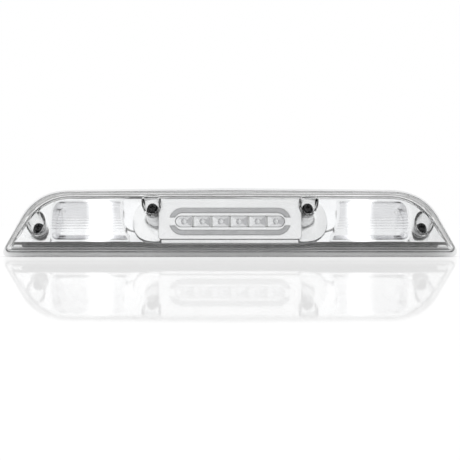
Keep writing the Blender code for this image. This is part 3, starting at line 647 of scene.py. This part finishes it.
def screw_parts(key):
    """Head with a cross recess and a rounded crown, and a threaded shank below it."""
    tip, top = reach(f"mount_screw_{key}", key)
    base = top - HEAD_T
    crown = [(base, SHANK_R - 0.1), (base, HEAD_R - 0.25), (base + 0.25, HEAD_R), (base + 1.9, HEAD_R)]
    for step in range(1, 9):
        turn = math.radians(72 * step / 8)
        crown.append((base + 1.9 + (HEAD_T - 1.9) * math.sin(turn) / math.sin(math.radians(72)),
                      HEAD_R - 2.6 * (1 - math.cos(turn))))
    head = solid(f"screw_head_{key}", turned(key, crown))
    recess = []
    for height, arm, half in ((top - 2.9, 0.7, 0.35), (top - 2.2, 1.7, 0.5), (top + 0.5, 2.9, 0.78)):
        corners = [(arm, -half), (arm, half), (half, half), (half, arm), (-half, arm), (-half, half),
                   (-arm, half), (-arm, -half), (-half, -half), (-half, -arm), (half, -arm), (half, -half)]
        recess.append([place_of(key) @ (Vector((x, y, height)) * MM) for x, y in corners])
    combine(head, "DIFFERENCE", solid(f"recess_{key}", recess))
    bevelled(head, 0.15, 2, 40.0)
    dress(head, FINISH["screw_black"], f"screw_{key}", (f"mount_screw_{key}",))
    pitch, depth, rows = THREAD_PITCH, THREAD_DEPTH, 150
    place = place_of(key)
    rings = []
    for row in range(rows + 1):
        height = tip + (base + 0.1 - tip) * row / rows
        root = SHANK_R - depth
        point = min(1.0, 0.45 + 0.55 * (height - tip) / 2.2)
        fade = max(0.0, min(1.0, (base - PLAIN_SHANK - height) / 2.0))
        ring = []
        for i in range(40):
            turn = 2 * math.pi * i / 40
            phase = (height / pitch - i / 40) % 1.0
            radius = root * point + depth * (fade * max(0.0, 1 - abs(phase - 0.5) * 3.2) + (1 - fade))
            ring.append(place @ (Vector((radius * math.cos(turn), radius * math.sin(turn), height)) * MM))
        rings.append(ring)
    thread = smooth(solid(f"screw_thread_{key}", rings), 50.0)
    dress(thread, FINISH["small_steel"], f"screw_{key}")


def seal_parts(key):
    """Rubber washer under the head and the ribbed grommet round the spigot."""
    low, high = reach(f"sealing_washer_{key}", key)
    node = frame["nodes"][f"sealing_washer_{key}"]
    origin = Vector(TURNS[key]["pos_m"])
    arms = [v.co - origin for v in node.data.vertices]
    outer = max((arm - AXIS * arm.dot(AXIS)).length for arm in arms) / MM
    round_edge, bore = 0.3, SHANK_R + 0.3
    profile = [(low, bore), (low, outer - round_edge), (low + 0.1, outer - 0.08),
               (low + round_edge, outer), (high - round_edge, outer), (high - 0.1, outer - 0.08),
               (high, outer - round_edge), (high, bore)]
    washer = smooth(solid(f"washer_ring_{key}", turned(key, profile), closed=True))
    dress(washer, FINISH["washer_rubber"], f"washer_{key}", (f"sealing_washer_{key}",))
    low, high = reach(f"boss_seal_{key}", key)
    bore, thick = SPIGOT_R + GAP, HOUSING_REAR_H - GAP
    neck, flange = GROMMET_NECK_R, GROMMET_FLANGE_R
    profile = [(low, bore), (low, flange - 0.4), (low + 0.4, flange), (thick - 0.4, flange),
               (thick, flange - 0.4), (thick, neck + 0.3), (thick + 0.3, neck), (high - 0.4, neck),
               (high, neck - 0.4), (high, bore + 0.3), (high - 0.3, bore)]
    for rib in range(2):
        height = high - 1.2 - rib * 1.4
        profile += [(height, bore), (height - 0.3, bore - 0.15), (height - 0.6, bore)]
    dress(smooth(solid(f"grommet_{key}", turned(key, profile), closed=True)), FINISH["washer_rubber"],
          "root", (f"boss_seal_{key}",))


def sleeve_collar(key):
    """Metallised collar round the clear sleeve, between the plate behind it and the cup floor."""
    low = PLATE_H[0] if "inner" in key else HOUSING_FRONT_H + 0.5
    high = mouth_height(key) - CUP_DEPTH - CUP_FLOOR - 0.4
    inner, outer = SLEEVE_R + 0.3, SLEEVE_R + 0.95
    profile = [(low, inner), (low, outer), (high - 0.2, outer), (high, outer - 0.2), (high, inner + 0.1),
               (high - 0.1, inner)]
    collar = smooth(solid(f"sleeve_collar_{key}", turned(key, profile), closed=True))
    dress(collar, FINISH["bezel_chrome"])


# Housing and gasket ------------------------------------------------------------------------------

def gasket():
    """Foam gasket with soft, slightly uneven edges."""
    low, high, soft = 0.0, HOUSING_REAR_H - GAP, 0.5
    section = [(1.5 + soft, low), (1.5, low + soft), (1.5, high - soft), (1.5 + soft, high),
               (8.0 - soft, high), (8.0, high - soft), (8.0, low + soft), (8.0 - soft, low)]
    rings = [tilted(resampled(outline(shrunk(HOUSING_RIM, inset)), 420), h) for inset, h in section]
    for ring in rings:
        for i, point in enumerate(ring):
            sway = 0.06 * math.sin(i * 0.7) + 0.05 * math.sin(i * 1.9 + 1.0)
            point.x -= sway * MM * (1 if point.x > 0 else -1) * 0.5
    dress(smooth(solid("gasket_ring", rings, closed=True), 50.0), FINISH["gasket_foam"],
          replaces=("mounting_gasket",))


def housing():
    shell = refined("rear_housing", 0.35, FINISH["housing_plastic"])
    shell.name = "housing_moulding"
    rib_low, rib_high, half = HOUSING_REAR_H - 1.6, HOUSING_REAR_H + 0.2, 0.55
    spans = [(x, x, -18.0, 22.0) for x in (-170.0, -98.0, -66.0, 66.0, 98.0, 170.0)]
    spans += [(-98.0, -66.0, v, v) for v in (-12.0, 2.0, 16.0)]
    spans += [(66.0, 98.0, v, v) for v in (-12.0, 2.0)]
    for number, (x0, x1, v0, v1) in enumerate(spans):
        plan = rounded_box(x0 - half, x1 + half, v0 - half, v1 + half, 0.4, 3)
        inner = rounded_box(x0 - half + 0.2, x1 + half - 0.2, v0 - half + 0.2, v1 + half - 0.2, 0.2, 3)
        rib = solid(f"housing_rib_{number + 1}", [panel(inner, rib_low), panel(plan, rib_low + 0.3),
                                                  panel(plan, rib_high)])
        dress(smooth(rib), FINISH["housing_plastic"])


# Brake window ------------------------------------------------------------------------------------

def bar_outline(sign, grow):
    """Half of a racing-track ring, above (sign 1) or below (sign -1) the window."""
    outer, inner = BAR_R + grow, BAR_INNER_R - grow
    end = BAR_END_Z - grow
    start, start_inner = math.degrees(math.asin(end / outer)), math.degrees(math.asin(end / inner))
    bend = BAR_HALF_X - BAR_R
    points = arc((bend, 0.0), outer, start, 90, 20) + arc((-bend, 0.0), outer, 90, 180 - start, 20)
    points += arc((-bend, 0.0), inner, 180 - start_inner, 90, 18)
    points += arc((bend, 0.0), inner, 90, start_inner, 18)
    return [(x, WINDOW_Z + sign * z) for x, z in points]


def window_outline(grow):
    bend, radius = WINDOW_HALF_X - WINDOW_R, WINDOW_R + grow
    points = arc((bend, 0.0), radius, -90, 90, 28) + arc((-bend, 0.0), radius, 90, 270, 28)
    return [(x, WINDOW_Z + z) for x, z in points]


def ear_outline(side):
    inner_x, far, mid, half = BEZEL_HALF_X - 1.0, 27.5, 2.0, 20.5
    points = []
    for i in range(49):
        turn = math.radians(-90 + 3.75 * i)
        swell = max(math.cos(turn), 0.0) ** 0.6 if i not in (0, 48) else 0.0
        points.append((inner_x + far * swell, mid + half * math.sin(turn)))
    return mirrored(points, side)


def bezel():
    """Metallised box round the brake window with rounded front edges and two side plates."""
    wall, radius = 2.0, 1.0
    x, (low, high) = BEZEL_HALF_X, BEZEL_Z
    hollow = rounded_box(-x + wall, x - wall, low + wall, high - wall, 1.0)
    plan = rounded_box(-x, x, low, high, 2.5)
    rings = [upright(hollow, BEZEL_FRONT_Y + BEZEL_T), tilted(hollow, PLATE_H[0]),
             tilted(plan, PLATE_H[0])]
    for step in range(6):
        turn = math.radians(90 * step / 5)
        inset = radius * (1 - math.cos(turn))
        rings.append(upright(rounded_box(-x + inset, x - inset, low + inset, high - inset, 2.5 - inset),
                             BEZEL_FRONT_Y + radius * (1 - math.sin(turn))))
    box = solid("bezel_moulding", rings)
    ears = [solid(f"ear_{side}", [tilted(ear_outline(side), h) for h in PLATE_H]) for side, _ in SIDES]
    combine(box, "UNION", *ears)
    through = (BEZEL_FRONT_Y - 2.0, BEZEL_FRONT_Y + BEZEL_T + 2.0)
    slots = [solid(name, [upright(shape, y) for y in through])
             for name, shape in (("window", window_outline(GAP)), ("slot_upper", bar_outline(1, GAP)),
                                 ("slot_lower", bar_outline(-1, GAP)))]
    rooms = [solid(f"room_{key}", cup_outside(key, 0.4)) for key in ("inner_left", "inner_right")]
    combine(box, "DIFFERENCE", *slots, *rooms)
    bevelled(box, 0.3, 3, 40.0)
    dress(box, FINISH["bezel_chrome"], replaces=("centre_bezel",))


def bars():
    """Frosted light bars with a crowned front."""
    front, back, crown = BEZEL_FRONT_Y - 1.0, BEZEL_FRONT_Y + 4.5, 0.8
    for word, sign in (("upper", 1), ("lower", -1)):
        rings = [upright(bar_outline(sign, 0.0), back)]
        for step in range(6):
            turn = math.radians(90 * step / 5)
            rings.append(upright(bar_outline(sign, -crown * (1 - math.cos(turn))),
                                 front + crown * (1 - math.sin(turn))))
        dress(smooth(solid(f"light_guide_{word}", rings), 45.0), FINISH["light_bar"],
              replaces=(f"light_bar_{word}",))


def bezel_skirt():
    """Metallised strip below the bezel, down to the light shield."""
    x, back, front = BEZEL_HALF_X - 2.6, -24.0, -25.5
    rings = [upright(rounded_box(-x + inset, x - inset, -21.1 + inset, BEZEL_Z[0] - GAP - inset, 0.6), y)
             for y, inset in ((back, 0.0), (front + 0.2, 0.0), (front, 0.2))]
    dress(smooth(solid("bezel_skirt", rings)), FINISH["bezel_chrome"])


def optic_fences():
    """Bright strips that close the gaps between the cells."""
    for number in range(OPTIC_COUNT - 1):
        x = (number - (OPTIC_COUNT - 2) / 2) * OPTIC_PITCH
        half_x, half_z = 0.47, WINDOW_R - 0.3
        low, high = WINDOW_Z - half_z, WINDOW_Z + half_z
        rings = [upright(rounded_box(x - half_x + inset, x + half_x - inset, low, high, 0.15, 2),
                         BEZEL_FRONT_Y + y)
                 for y, inset in ((3.5, 0.0), (-0.6, 0.0), (-0.75, 0.12))]
        dress(smooth(solid(f"optic_fence_{number + 1}", rings)), FINISH["board_white"])


def optic_outline(number):
    centre = (number - (OPTIC_COUNT - 1) / 2) * OPTIC_PITCH
    left, right = centre - OPTIC_HALF_X, centre + OPTIC_HALF_X
    radii = [WINDOW_R if number == 0 else 0.8, WINDOW_R if number == OPTIC_COUNT - 1 else 0.8]
    points = []
    for x, radius, start in ((right - radii[1], radii[1], -90), (left + radii[0], radii[0], 90)):
        points += arc((x, math.copysign(WINDOW_R - radius, start)), radius, start, start + 90, 8)
        points += arc((x, -math.copysign(WINDOW_R - radius, start)), radius, start + 90, start + 180, 8)
    return centre, resampled([p for i, p in enumerate(points) if math.dist(p, points[i - 1]) > 0.01], 96)


def optics():
    """Silvered cells, each a sunk pyramid of four facets round a domed centre."""
    front = BEZEL_FRONT_Y - 0.4
    for number in range(OPTIC_COUNT):
        centre, shape = optic_outline(number)
        shape = [(x, WINDOW_Z + z) for x, z in shape]
        middle = (centre, WINDOW_Z)
        rings = [upright(scaled_about(shape, middle, scale, scale), BEZEL_FRONT_Y + y)
                 for y, scale in ((7.5, 0.6), (1.6, 1.0), (0.3, 1.0))]
        for scale in (0.97, 0.94, 0.9, 0.8, 0.7, 0.6, 0.5, 0.42, 0.36, 0.3, 0.24, 0.16, 0.08):
            ring = []
            for x, z in scaled_about(shape, middle, scale, scale):
                u, v = abs(x - centre) / OPTIC_HALF_X, abs(z - WINDOW_Z) / WINDOW_R
                sunk = OPTIC_SINK * (0.94 - min(0.94, max(u, v))) if scale < 0.93 else 0.0
                dome = max(0.0, 1.0 - ((x - centre) ** 2 + (z - WINDOW_Z) ** 2) / OPTIC_DOME_R2)
                ring.append(Vector((x, front + sunk - OPTIC_DOME * math.sqrt(dome), z)) * MM)
            rings.append(ring)
        cell = smooth(solid(f"optic_cell_{number + 1}", rings), 14.0)
        dress(cell, FINISH["optic_clear"], replaces=(f"brake_optic_{number + 1}",))


# Cargo lamps -------------------------------------------------------------------------------------

def reflector_outline():
    x0, x1 = CARGO_X
    low, high = -18.2, 21.6
    points = arc((x1 - 6.0, low + 6.0), 6.0, -90, 0, 12)
    points += bezier(points[-1], (x1, 12.0), (x1 - 1.5, high), (x1 - 11.0, high), 20)
    inner_top = (x0 + 7.0, high)
    points += [(x0 + 38.0, high), inner_top]
    points += bezier(inner_top, (x0 + 9.0, 8.0), (x0 + 6.5, -4.0), (x0, low), 20)
    points += [(x0 + 38.0, low)]
    return resampled(points, 260)


def bowl(front, back, front_y, floor_h, levels):
    near, far = upright(front, front_y), tilted(back, floor_h)
    rings = []
    for level in range(levels + 1):
        turn = math.pi / 2 * level / levels
        inward, deep = 1 - math.cos(turn), math.sin(turn)
        rings.append([Vector((a.x + (b.x - a.x) * inward, a.y + (b.y - a.y) * deep,
                              a.z + (b.z - a.z) * inward)) for a, b in zip(near, far)])
    return rings


def cargo_reflector(side, word):
    """Aluminised bowl with fine level flutes, a lamp window and a fixing hole."""
    edge = reflector_outline()
    middle = (0.5 * sum(CARGO_X), 2.5)
    lip = scaled_about(edge, middle, 0.955, 0.91)
    back_h, floor_h = REFLECTOR_FLOOR_H
    outer = bowl(edge, scaled_about(edge, middle, 0.955, 0.72), REFLECTOR_FRONT_Y, back_h, 8)
    inner = bowl(lip, scaled_about(edge, middle, 0.92, 0.65), REFLECTOR_FRONT_Y, floor_h, 22)
    for step in range(1, 19):
        share = 1 - step / 19
        inner.append(tilted(scaled_about(edge, middle, 0.92 * share, 0.65 * share), floor_h))
    for number, ring in enumerate(inner):
        fade = min(1.0, number / 5)
        for point in ring:
            flute = abs(math.sin(math.pi * point.z / MM / FLUTE_PITCH))
            point.y -= FLUTE_DEPTH * MM * fade * flute
    rings = list(reversed(outer)) + inner
    for ring in rings:
        for point in ring:
            point.x *= side
    reflector = solid(f"cargo_bowl_{word}", rings)
    holes = [solid(f"hole_{x}", [panel(circle(radius, 48, (side * x, v)), h) for h in (7.0, 14.0)])
             for x, v, radius in ((CARGO_LED_X, 0.0, 8.0), (*REFLECTOR_SCREW, 1.5))]
    combine(reflector, "DIFFERENCE", *holes)
    dress(smooth(reflector, 40.0), FINISH["reflector_chrome"],
          replaces=(f"cargo_reflector_{word}",))


def cargo_backing(side, word):
    """Metallised plate behind the bowl, seen through the lens wall above and below it."""
    rim = outline(shrunk(LENS_RIM, LENS_WALL + 0.6))
    inner_x = BEZEL_HALF_X + 16.0
    right = [p for p in rim if p[0] > inner_x]
    points = [(inner_x, right[0][1])] + right + [(inner_x, right[-1][1])]
    plate = solid(f"cargo_backing_{word}", [tilted(mirrored(points, side), h) for h in BACKING_H])
    spot = (side * REFLECTOR_SCREW[0], REFLECTOR_SCREW[1])
    post = solid("post", [panel(circle(POST_ROOM_R, 32, spot), h) for h in (3, 8)])
    sleeve = solid("sleeve", turned(f"outer_{word}", [(h, SLEEVE_ROOM_R) for h in (1.0, 14.0)]))
    combine(plate, "DIFFERENCE", post, sleeve)
    dress(bevelled(plate, 0.2), FINISH["reflector_chrome"])


def cargo_lamp(side, word):
    """Round emitter: ceramic dam ring and a lit phosphor disc."""
    low = EMITTER_H
    spot = (side * CARGO_LED_X, 0.0)
    dam = [(low, DAM_R), (low + 1.5, DAM_R), (low + 1.6, DAM_R - 0.1), (low + 1.6, 5.7), (low + 0.5, 5.4),
           (low + 0.5, 3.0)]
    ring = solid(f"cargo_dam_{word}", [panel(circle(r, 64, spot), h) for h, r in dam])
    dress(smooth(ring), FINISH["reflector_chrome"], replaces=(f"cargo_led_{word}",))
    glow = [(low + 0.5, PHOSPHOR_R)]
    for turn in [math.radians(a) for a in range(0, 90, 12)]:
        glow.append((low + 0.55 + 1.1 * math.sin(turn), PHOSPHOR_R * math.cos(turn)))
    lamp = solid(f"cargo_phosphor_{word}", [panel(circle(r, 64, spot), h) for h, r in glow])
    dress(smooth(lamp), FINISH["led_phosphor"])


# Build -------------------------------------------------------------------------------------------

lens_shell()
seal_bead()
housing()
gasket()
bezel()
bezel_skirt()
bars()
optic_fences()
optics()
for key in TURNS:
    screw_parts(key)
    seal_parts(key)
    sleeve_collar(key)
for side, word in SIDES:
    cargo_reflector(side, word)
    cargo_backing(side, word)
    cargo_lamp(side, word)
    for node, width, slot in (("end_bezel", 0.3, "bezel_chrome"),
                              ("cargo_led_board", 0.2, "board_white"),
                              ("board_screw", 0.2, "small_steel"),
                              ("vent_cap", 0.3, "connector_black")):
        refined(f"{node}_{word}", width, FINISH[slot])
    refined(f"reflector_screw_{word}", 0.2, FINISH["bezel_chrome"])
    frame["nodes"][f"jumper_lead_{word}"].data.materials[0] = FINISH["lead_jacket"]
# The black lower light shield sits behind the lower lens wall: painted shade, a dark part put where the
# shade under the reflectors falls.
for node, width, slot in (("lower_light_shield", 0.12, "connector_black"),
                          ("brake_led_board", 0.2, "board_white"),
                          ("driver_chip", 0.2, "chip_black"), ("driver_coil", 0.4, "chip_black"),
                          ("connector_shell", 0.25, "connector_black")):
    refined(node, width, FINISH[slot])
for number in range(OPTIC_COUNT):
    refined(f"brake_led_{number + 1}", 0.12, FINISH["led_red"])
for number in range(4):
    refined(f"terminal_pin_{number + 1}", 0.06, FINISH["terminal_brass"])


# Stage -------------------------------------------------------------------------------------------

def floor():
    """Self-lit pale floor with a weak sheen, and a painted contact shadow: its glow and sheen are turned
    down where the lamp stands on it.
    """
    n = Nodes("floor_pale")
    tone = n.mixed(n.ranged(n.noise(3.0), 0.0, 1.0), (0.97, 0.97, 0.97), (0.96, 0.96, 0.96))
    split = n.add("ShaderNodeSeparateXYZ")
    n.link(n.place, split.inputs[0])
    width = n.add("ShaderNodeMath", operation="ABSOLUTE")
    n.link(split.outputs["X"], width.inputs[0])
    # Painted shadow: a mask over the floor under the lamp that darkens its glow and its sheen.
    painted_shadow = n.ranged(split.outputs["Y"], 0.0, 1.0, *PAINTED_SHADOW_FRONT)
    for edge in (n.ranged(width.outputs[0], 1.0, 0.0, *PAINTED_SHADOW_SIDE),
                 n.ranged(split.outputs["Y"], 1.0, 0.0, *PAINTED_SHADOW_BACK)):
        both = n.add("ShaderNodeMath", operation="MULTIPLY")
        n.link(painted_shadow, both.inputs[0])
        n.link(edge, both.inputs[1])
        painted_shadow = both.outputs[0]
    n.link(n.mixed(painted_shadow, tone, PAINTED_SHADOW_TONE), n.shader.inputs["Emission Color"])
    n.shader.inputs["Emission Strength"].default_value = 1.0
    n.shader.inputs["Roughness"].default_value = 1.0
    n.shader.inputs["Specular IOR Level"].default_value = 0.0
    dark = n.mixed(n.ranged(n.noise(3.0), 0.0, 1.0), (0.16, 0.16, 0.16), (0.15, 0.15, 0.15))
    n.link(dark, n.shader.inputs["Base Color"])
    gloss = n.add("ShaderNodeBsdfGlossy", Roughness=0.03)
    mix = n.add("ShaderNodeMixShader")
    n.link(n.ranged(painted_shadow, FLOOR_GLOSS, PAINTED_SHADOW_GLOSS, 0.0, 1.0), mix.inputs[0])
    n.link(n.shader.outputs[0], mix.inputs[1])
    n.link(gloss.outputs[0], mix.inputs[2])
    output = next(node for node in n.tree.nodes if node.type == "OUTPUT_MATERIAL")
    n.link(mix.outputs[0], output.inputs["Surface"])
    level, half = cad_low.z - FLOOR_DROP, FLOOR_HALF
    corners = [(-half, -half, level), (half, -half, level), (half, half, level), (-half, half, level)]
    mesh = bpy.data.meshes.new("floor")
    mesh.from_pydata(corners, [], [(0, 1, 2, 3)])
    mesh.materials.append(n.material)
    plane = bpy.data.objects.new("floor", mesh)
    bpy.context.scene.collection.objects.link(plane)


def world():
    """White studio, a little greyer at the sides."""
    room = bpy.data.worlds.new("studio")
    bpy.context.scene.world = room
    room.use_nodes = True
    tree = room.node_tree
    background = tree.nodes["Background"]

    def linked(kind, inputs, **settings):
        node = tree.nodes.new(kind)
        for key, value in settings.items():
            setattr(node, key, value)
        for key, value in inputs.items():
            if isinstance(value, bpy.types.NodeSocket):
                tree.links.new(value, node.inputs[key])
            else:
                node.inputs[key].default_value = value
        return node.outputs[0]

    place = tree.nodes.new("ShaderNodeTexCoord").outputs["Generated"]
    split = tree.nodes.new("ShaderNodeSeparateXYZ")
    tree.links.new(place, split.inputs[0])
    width = linked("ShaderNodeMath", {0: split.outputs["X"]}, operation="ABSOLUTE")
    sides = linked("ShaderNodeMapRange", {"Value": width, "From Min": 0.4, "From Max": 0.95,
                                          "To Min": 1.0, "To Max": SIDE_LIGHT},
                   interpolation_type="SMOOTHSTEP")
    depth = linked("ShaderNodeMapRange", {"Value": split.outputs["Y"], "From Min": -0.5, "From Max": 0.3,
                                          "To Min": FRONT_LIGHT, "To Max": BACK_LIGHT})
    level = linked("ShaderNodeMath", {0: sides, 1: depth}, operation="MULTIPLY")
    seen = tree.nodes.new("ShaderNodeLightPath").outputs["Is Camera Ray"]
    tree.links.new(linked("ShaderNodeMix", {0: seen, 2: level, 3: 1.0}), background.inputs["Strength"])
    background.inputs["Color"].default_value = (1.0, 1.0, 1.0, 1.0)


def area_lamp(name, place, aim, size, power):
    data = bpy.data.lights.new(name, "AREA")
    data.shape = "RECTANGLE"
    data.size, data.size_y = size
    data.energy = power
    lamp = bpy.data.objects.new(name, data)
    lamp.location = place
    lamp.rotation_euler = (Vector(aim) - Vector(place)).to_track_quat("-Z", "Y").to_euler()
    bpy.context.scene.collection.objects.link(lamp)


def camera():
    """Level camera straight in front, with a little shift so that the lamp sits above the middle."""
    data = bpy.data.cameras.new("camera")
    data.lens, data.sensor_width = CAMERA_LENS, 36.0
    data.shift_y = CAMERA_SHIFT
    viewer = bpy.data.objects.new("camera", data)
    viewer.location = (0.0, -CAMERA_DISTANCE, 0.0)
    viewer.rotation_euler = (math.pi / 2, 0.0, 0.0)
    bpy.context.scene.collection.objects.link(viewer)
    bpy.context.scene.camera = viewer


floor()
world()
area_lamp("key_softbox", (-0.5, -0.9, 1.1), (0.0, 0.0, 0.0), (1.6, 1.2), 1.0)
camera()
bpy.context.scene.view_settings.view_transform = "Standard"
